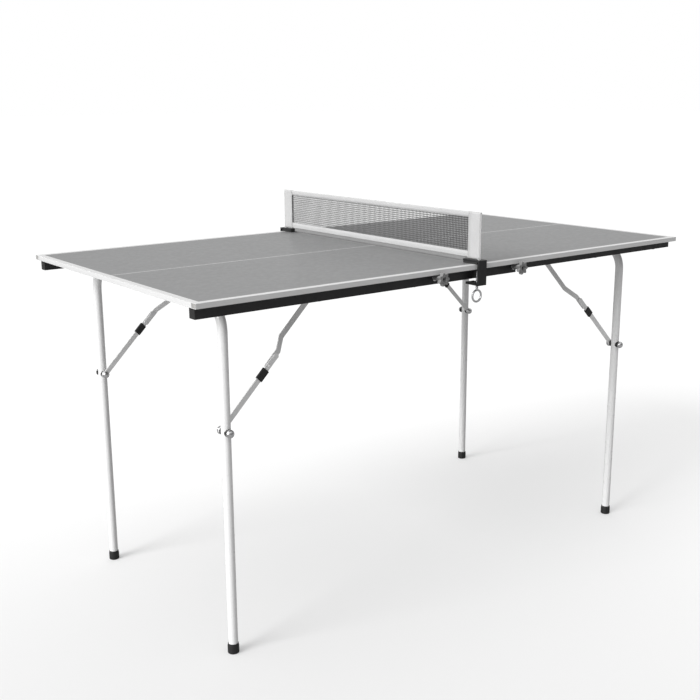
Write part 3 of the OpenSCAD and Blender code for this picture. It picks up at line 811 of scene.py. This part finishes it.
class TABLE_OT_knobs(Operator):
    """Make the lobed hand knobs"""

    bl_idname = "table.knobs"
    bl_label = "Hand Knobs"

    def execute(self, context):
        for side in SIDES:
            for end in ENDS:
                self.make_knob(f"{side}_{end}_knob", 1.0 if side == "far" else -1.0)
        return {"FINISHED"}

    def make_knob(self, node, out):
        """Lobed grip on a hub, with a rounded rim and a recess round the bolt's hole."""
        low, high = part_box(node)
        centre_x, centre_z = (low.x + high.x) / 2, (low.z + high.z) / 2
        inner = low.y if out > 0 else high.y
        total = high.y - low.y
        outer_r = (high.z - low.z) / 2 * 1.017
        s = sizes()
        grip = 9.0 * MM
        lobe = 2.1 * MM
        mid = outer_r - lobe
        hole = 3.08 * MM
        round_r = 1.6 * MM
        back, face = total - grip, total
        plan = [(0.0, hole, 0.0), (0.0, s.hub_r - 0.4 * MM, 0.0), (0.4 * MM, s.hub_r, 0.0),
                (back - 2.5 * MM, s.hub_r, 0.0), (back - 0.8 * MM, s.hub_r + 0.7 * MM, 0.0),
                (back, s.hub_r + 2.2 * MM, 0.0), (back, mid - round_r * 1.6, lobe * 0.5)]
        for i in range(5):
            a = i / 4 * math.pi / 2
            plan.append((back + round_r * (1 - math.cos(a)), mid - round_r * (1 - math.sin(a)), lobe))
        for i in range(5):
            a = i / 4 * math.pi / 2
            plan.append((face - round_r * (1 - math.sin(a)), mid - round_r * (1 - math.cos(a)), lobe))
        plan += [(face - 0.5 * MM, mid - 3.4 * MM, lobe * 0.35),
                 (face - 0.7 * MM, s.recess_r + 1.6 * MM, 0.0),
                 (face - 0.2 * MM, s.recess_r + 0.9 * MM, 0.0), (face - 0.2 * MM, s.recess_r + 0.2 * MM, 0.0),
                 (face - 0.6 * MM, s.recess_r, 0.0), (face - 3 * MM, s.recess_r, 0.0),
                 (face - 3 * MM, hole, 0.0)]
        count = s.lobes * 18
        rings = []
        for along, base, wave in plan:
            ring = []
            for i in range(count):
                a = i * math.tau / count
                r = base + wave * math.cos(s.lobes * a)
                ring.append((centre_x + r * math.cos(a), inner + out * along, centre_z + r * math.sin(a)))
            rings.append(ring)
        work = bmesh.new()
        made = lathe_rings(work, rings, closed_ends=False)
        for i in range(count):
            j = (i + 1) % count
            work.faces.new((made[0][j], made[0][i], made[-1][i], made[-1][j]))
        face_outwards(work)
        new_piece(node + "_finished", mesh_from(work, node + "_surface", math.radians(50)),
                  knob_material(), BODY_OF[node], SLOT_OF[node], node)


class TABLE_OT_clamps(Operator):
    """Finish the net clamps and their pads"""

    bl_idname = "table.clamps"
    bl_label = "Net Clamps"

    def execute(self, context):
        soften("net_clamps", 0.6 * MM, 3)
        soften("net_clamp_pads", 0.5 * MM, 3)
        for side in SIDES:
            soften(side + "_screw_pad", 0.6 * MM, 3)
        return {"FINISHED"}


class TABLE_OT_ring_screws(Operator):
    """Make the ring screws with their threads"""

    bl_idname = "table.ring_screws"
    bl_label = "Ring Screws"

    def execute(self, context):
        for side in SIDES:
            self.make_screw(side + "_ring_screw")
        return {"FINISHED"}

    def make_screw(self, node):
        """Threaded shank that runs out into a collar above a closed ring."""
        low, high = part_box(node)
        centre_x, centre_y = (low.x + high.x) / 2, (low.y + high.y) / 2
        outer = (high.x - low.x) / 2
        shank_r = (high.y - low.y) / 2
        s = sizes()
        wire_r = s.ring_wire / 2
        ring_r = outer - wire_r
        ring_z = low.z + outer
        work = bmesh.new()
        around, across = 72, 20
        tube = []
        for i in range(around):
            a = i * math.tau / around
            ring = []
            for k in range(across):
                b = k * math.tau / across
                r = ring_r + wire_r * math.cos(b)
                ring.append((centre_x + r * math.cos(a), centre_y + wire_r * math.sin(b),
                             ring_z + r * math.sin(a)))
            tube.append(ring)
        tube.append(tube[0])
        lathe_rings(work, tube, closed_ends=False)
        bmesh.ops.remove_doubles(work, verts=work.verts, dist=0.001 * MM)
        top = ring_z + ring_r
        collar = [(wire_r * 0.9, -0.5 * MM), (wire_r * 1.02, 1.4 * MM), (shank_r * 0.98, 3.6 * MM),
                  (shank_r, 4.4 * MM), (shank_r, 5.2 * MM)]
        corners = 24
        rings = [circle(centre_x, centre_y, top + z, r, corners) for r, z in collar]
        depth = 0.55 * MM
        z = top + collar[-1][1]
        step = s.thread_pitch / 6
        while z < high.z - 0.6 * MM:
            ring = []
            for i in range(corners):
                phase = (i / corners + z / s.thread_pitch) % 1.0
                run_in = min(1.0, (z - top - 5.2 * MM) / (1.5 * MM))
                r = shank_r - depth * run_in * abs(2 * phase - 1)
                a = i * math.tau / corners
                ring.append((centre_x + r * math.cos(a), centre_y + r * math.sin(a), z))
            rings.append(ring)
            z += step
        rings.append(circle(centre_x, centre_y, high.z - 0.4 * MM, shank_r * 0.8, corners))
        rings.append(circle(centre_x, centre_y, high.z, shank_r * 0.62, corners))
        lathe_rings(work, rings)
        face_outwards(work)
        new_piece(node + "_finished", mesh_from(work, node + "_surface", math.radians(60)),
                  steel_material(), BODY_OF[node], SLOT_OF[node], node)


class TABLE_OT_net(Operator):
    """Make the net: woven mesh, tapes, sleeves and their stitches"""

    bl_idname = "table.net"
    bl_label = "Net"

    def execute(self, context):
        s = sizes()
        low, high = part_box("net")
        post_low, post_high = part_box("net_posts")
        self.post_r = (post_high.x - post_low.x) / 2
        self.top, self.bottom, self.reach = high.z, low.z, high.y - 0.7 * MM
        self.sleeve_in = self.reach - s.sleeve_w
        self.sleeve_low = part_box("net_clamps")[1].z + 1 * MM
        soften("net_posts", 0.5 * MM)
        hem_low = self.bottom + s.skirt_h - 3 * MM
        mesh_low = hem_low + 4 * MM
        mesh_high = self.top - 4 * MM
        self.make_mesh(mesh_low, mesh_high)
        self.make_tape("net_top_tape", self.top, self.top - s.tape_h, self.sleeve_in)
        self.make_tape("net_bottom_tape", hem_low, hem_low + s.hem_h, self.sleeve_in)
        self.make_skirt(hem_low)
        for side, out in (("near", -1.0), ("far", 1.0)):
            self.make_sleeve(side, out)
        self.make_stitches(hem_low)
        return {"FINISHED"}

    def make_mesh(self, low, high):
        s = sizes()
        width = 2 * (self.sleeve_in + 4 * MM)
        thread = thread_material("net_thread", colours().mesh)
        mesh = run_tree(net_tree(), width=width, height=high - low, pitch=s.mesh_pitch,
                        thread=s.thread, centre=(0.0, 0.0, (low + high) / 2), material=thread)
        mesh.polygons.foreach_set("use_smooth", [True] * len(mesh.polygons))
        piece = new_piece("net_mesh", mesh, thread, "root", "net_cloth", "net")

    def cloth_strip(self, name, profile, along, material, flat, rests_on=("net_mesh",)):
        """A strip of cloth: profile is its line across, along maps a profile point and a place along it."""
        s = sizes()
        work = bmesh.new()
        uv = work.loops.layers.uv.new("cloth")
        places = [sum(((b - a).length for a, b in zip(profile[:i], profile[1:i + 1])), 0.0)
                  for i in range(len(profile))]
        steps = [along[0] + (along[1] - along[0]) * k / along[2] for k in range(along[2] + 1)]
        grid = [[work.verts.new(along[3](point, place)) for point in profile] for place in steps]
        for k in range(len(steps) - 1):
            for i in range(len(profile) - 1):
                corners = [(k, i), (k, i + 1), (k + 1, i + 1), (k + 1, i)]
                face = work.faces.new([grid[a][b] for a, b in corners])
                for loop, (a, b) in zip(face.loops, corners):
                    loop[uv].uv = (places[b], steps[a])
        face_outwards(work)
        mesh = mesh_from(work, name, math.radians(60))
        piece = new_piece(name, mesh, material, "root", "net_cloth")
        thick = piece.modifiers.new("Cloth", "SOLIDIFY")
        thick.thickness = s.cloth_t
        thick.offset = 0.0
        thick.use_even_offset = True

    def make_tape(self, name, fold, edge, reach):
        """A tape folded over the mesh's edge, from its fold to its two edges."""
        s = sizes()
        gap = s.thread + 0.35 * MM
        up = 1.0 if fold > edge else -1.0
        turn = fold - up * (gap + s.cloth_t / 2)
        profile = [Vector((-gap, edge)), Vector((-gap, (edge + turn) / 2)), Vector((-gap, turn))]
        for i in range(1, 8):
            a = math.pi * i / 8
            profile.append(Vector((-gap * math.cos(a), turn + up * gap * math.sin(a))))
        profile += [Vector((gap, turn)), Vector((gap, (edge + turn) / 2)), Vector((gap, edge))]

        def place(point, y):
            puckered = 0.12 * MM * math.sin(y * math.tau / (11 * MM)) * abs(point.y - fold) / abs(edge - fold)
            return Vector((point.x + puckered * (1 if point.x > 0 else -1), y, point.y))

        flat = (2 * abs(fold - edge) + 1 * MM, 2 * reach + 3 * MM)
        self.cloth_strip(name, profile, (-reach - 1.5 * MM, reach + 1.5 * MM, 240, place),
                         cloth_material("net_tape_cloth", colours().cloth), flat)

    def make_skirt(self, hem_low):
        """The band under the lower tape, in a darker cloth that is painted shade."""
        s = sizes()
        top = hem_low + 3 * MM
        reach = -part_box("net_clamps")[0].y - 53 * MM

        def place(point, y):
            return Vector((point.x + 0.25 * MM * math.sin(y * math.tau / (70 * MM)), y, point.y))

        profile = [Vector((0.0, self.bottom + (top - self.bottom) * i / 4)) for i in range(5)]
        # Painted shade: the skirt's cloth colour is darker than the tapes'
        self.cloth_strip("net_skirt", profile, (-reach, reach, 120, place),
                         cloth_material("net_skirt_cloth", colours().skirt),
                         (top - self.bottom, 2 * reach), rests_on=("net_bottom_tape",))

    def make_sleeve(self, side, out):
        """A sleeve folded round the post and sewn to the mesh."""
        s = sizes()
        post = self.reach - self.post_r - 0.7 * MM
        wrap = self.post_r + 0.35 * MM
        flat_gap = s.thread + 0.9 * MM
        profile = [Vector((flat_gap, self.sleeve_in)), Vector((flat_gap, self.sleeve_in + 12 * MM)),
                   Vector((flat_gap, post - wrap - 6 * MM)), Vector((wrap * 0.72, post - wrap * 1.0))]
        for i in range(11):
            a = -0.2 * math.pi + i / 10 * 1.4 * math.pi
            profile.append(Vector((wrap * math.cos(a), post + wrap * math.sin(a))))
        profile += [Vector((-point.x, point.y)) for point in reversed(profile[:4])]

        def place(point, z):
            return Vector((point.x, out * point.y, z))

        steps = (self.sleeve_low, self.top, 24, place)
        width = sum((b - a).length for a, b in zip(profile, profile[1:]))
        self.cloth_strip(f"{side}_net_sleeve", profile, steps,
                         cloth_material("net_sleeve_cloth", colours().cloth, 0.8 * MM),
                         (width, self.top - self.sleeve_low), rests_on=("net_posts_finished",))

    def make_stitches(self, hem_low):
        """Rows of stitches along the tapes' free edges and up the sleeves."""
        s = sizes()
        tree = stitch_tree()
        thread = thread_material("sewing_thread", colours().cloth)
        pitch = s.stitch + s.stitch_gap
        proud = s.thread + 0.35 * MM + s.cloth_t / 2
        made = []
        rows = (self.top - s.tape_h + 1.4 * MM, hem_low + s.hem_h - 1.4 * MM, hem_low + 1.6 * MM)
        for face in (-1.0, 1.0):
            for z in rows:
                count = int(2 * self.sleeve_in / pitch)
                made.append(run_tree(
                    tree, start=(face * proud, -pitch * (count - 1) / 2, z), step=(0.0, pitch, 0.0),
                    count=count, size=(s.stitch_w, s.stitch, s.stitch_w), material=thread))
            for out in (-1.0, 1.0):
                for inset in (1.8 * MM, 24 * MM):
                    count = int((self.top - self.sleeve_low) / pitch) - 1
                    y = out * (self.sleeve_in + inset)
                    x = face * (s.thread + 0.9 * MM + s.cloth_t / 2)
                    made.append(run_tree(
                        tree, start=(x, y, self.sleeve_low + pitch), step=(0.0, 0.0, pitch), count=count,
                        size=(s.stitch_w, s.stitch_w, s.stitch), material=thread))
        new_piece("net_stitches", gather(made, "net_stitches"), thread, "root", "net_cloth")


class TABLE_OT_studio(Operator):
    """Set up the camera, the floor and the lights"""

    bl_idname = "table.studio"
    bl_label = "Studio"

    def execute(self, context):
        self.make_camera(context.scene)
        self.make_floor(context.scene)
        self.make_lights(context.scene)
        return {"FINISHED"}

    def make_camera(self, scene):
        s = studio()
        data = bpy.data.cameras.new("camera")
        data.sensor_width = 36.0
        data.lens = s.lens
        camera = bpy.data.objects.new("camera", data)
        scene.collection.objects.link(camera)
        camera.matrix_world = (
            Matrix.Translation(s.place) @ Matrix.Rotation(-s.yaw, 4, "Z")
            @ Matrix.Rotation(math.pi / 2 + s.pitch, 4, "X") @ Matrix.Rotation(s.roll, 4, "Z")
        )
        scene.camera = camera

    def make_floor(self, scene):
        """A wide pale floor that the camera sees partly glowing white, and wholly so away from the table;
        near the table its colour has painted shade, darker towards the camera.
        """
        work = bmesh.new()
        bmesh.ops.create_grid(work, x_segments=1, y_segments=1, size=60.0)
        floor = bpy.data.objects.new("floor", mesh_from(work, "floor"))
        scene.collection.objects.link(floor)
        material = bpy.data.materials.new("studio_floor")
        material.use_nodes = True
        tree = material.node_tree
        tree.nodes.clear()
        end = tree.nodes.new("ShaderNodeOutputMaterial")
        place = object_place(tree)
        back = add_node(tree, "ShaderNodeVectorMath", {0: place, 1: (0.61, 0.79, 0.0)},
                        operation="DOT_PRODUCT").outputs["Value"]
        away = add_node(tree, "ShaderNodeVectorMath", {0: place}, operation="LENGTH").outputs["Value"]
        seen = add_node(tree, "ShaderNodeLightPath").outputs["Is Camera Ray"]
        # Painted shade: the floor's colour as the camera sees it is darker towards the camera; other rays see
        # a darker floor, so that it bounces less light
        floor_tone_with_painted_shade = spread(tree, back, -0.8, 0.35, 0.74, 0.9)
        floor_tone_with_painted_shade = add_node(tree, "ShaderNodeMix", {"Factor": seen, "A": 0.36, "B": floor_tone_with_painted_shade}).outputs[0]
        tone = add_node(tree, "ShaderNodeCombineColor", {0: floor_tone_with_painted_shade, 1: floor_tone_with_painted_shade, 2: floor_tone_with_painted_shade}).outputs[0]
        matt = add_node(tree, "ShaderNodeBsdfDiffuse", {"Color": tone}).outputs[0]
        white = add_node(tree, "ShaderNodeEmission", {"Color": (1.0, 1.0, 1.0, 1.0),
                                                     "Strength": 1.05}).outputs[0]
        fade = math_node(tree, "MAXIMUM", spread(tree, away, 0.9, 3.2), 0.25)
        share = math_node(tree, "MULTIPLY", fade, seen)
        mixed = add_node(tree, "ShaderNodeMixShader", {0: share, 1: matt, 2: white}).outputs[0]
        tree.links.new(mixed, end.inputs["Surface"])
        floor.data.materials.append(material)

    def make_lights(self, scene):
        """White behind everything, a soft sky that is brighter above and on the left, and a small sun."""
        s = studio()
        scene.view_settings.view_transform = "Standard"
        world = bpy.data.worlds.new("studio_world")
        world.use_nodes = True
        tree = world.node_tree
        tree.nodes.clear()
        end = tree.nodes.new("ShaderNodeOutputWorld")
        way = add_node(tree, "ShaderNodeTexCoord").outputs["Generated"]
        up = add_node(tree, "ShaderNodeSeparateXYZ", {0: way}).outputs["Z"]
        up = math_node(tree, "MAXIMUM", up, 0.0)
        high = math_node(tree, "MULTIPLY", math_node(tree, "MULTIPLY", up, up), s.above)
        to_left = Vector((-0.88, -0.03, 0.45)).normalized()
        sky = math_node(tree, "ADD", high, s.around)
        for toward, power in ((to_left, s.left), (Vector((0.6, 0.75, 0.28)).normalized(), s.back)):
            lobe = add_node(tree, "ShaderNodeVectorMath", {0: way, 1: toward},
                            operation="DOT_PRODUCT").outputs["Value"]
            lobe = math_node(tree, "POWER", math_node(tree, "MAXIMUM", lobe, 0.0), 3.0)
            sky = math_node(tree, "ADD", sky, math_node(tree, "MULTIPLY", lobe, power))
        seen = add_node(tree, "ShaderNodeLightPath").outputs["Is Camera Ray"]
        strength = add_node(tree, "ShaderNodeMix", {"Factor": seen, "A": sky, "B": 1.0}).outputs[0]
        sky = add_node(tree, "ShaderNodeBackground", {"Color": (1.0, 1.0, 1.0, 1.0),
                                                     "Strength": strength}).outputs[0]
        tree.links.new(sky, end.inputs["Surface"])
        scene.world = world
        data = bpy.data.lights.new("left_sun", "SUN")
        data.energy = s.sun
        data.angle = math.radians(30)
        light = bpy.data.objects.new("left_sun", data)
        scene.collection.objects.link(light)
        light.rotation_euler = to_left.to_track_quat("Z", "Y").to_euler()


OPERATORS = (
    TABLE_OT_top,
    TABLE_OT_rails,
    TABLE_OT_fixings,
    TABLE_OT_legs,
    TABLE_OT_stays,
    TABLE_OT_knobs,
    TABLE_OT_clamps,
    TABLE_OT_ring_screws,
    TABLE_OT_net,
    TABLE_OT_studio,
)


class TABLE_PT_build(Panel):
    """Builds the table piece by piece"""

    bl_label = "Folding Ping Pong Table"
    bl_space_type = "VIEW_3D"
    bl_region_type = "UI"
    bl_category = "Table"

    def draw(self, context):
        layout = self.layout
        for group in (colours(), sizes(), studio()):
            box = layout.box()
            for name in group.__annotations__:
                box.prop(group, name)
        for operator in OPERATORS:
            layout.operator(operator.bl_idname)


CLASSES = (TableColours, TableSizes, TableStudio, *OPERATORS, TABLE_PT_build)


def register():
    for made in CLASSES:
        bpy.utils.register_class(made)
    bpy.types.Scene.table_colours = PointerProperty(type=TableColours)
    bpy.types.Scene.table_sizes = PointerProperty(type=TableSizes)
    bpy.types.Scene.table_studio = PointerProperty(type=TableStudio)


def unregister():
    del bpy.types.Scene.table_studio
    del bpy.types.Scene.table_sizes
    del bpy.types.Scene.table_colours
    for made in reversed(CLASSES):
        bpy.utils.unregister_class(made)


def main():
    register()
    for operator in OPERATORS:
        group, name = operator.bl_idname.split(".")
        getattr(getattr(bpy.ops, group), name)()


if __name__ == "__main__":
    main()
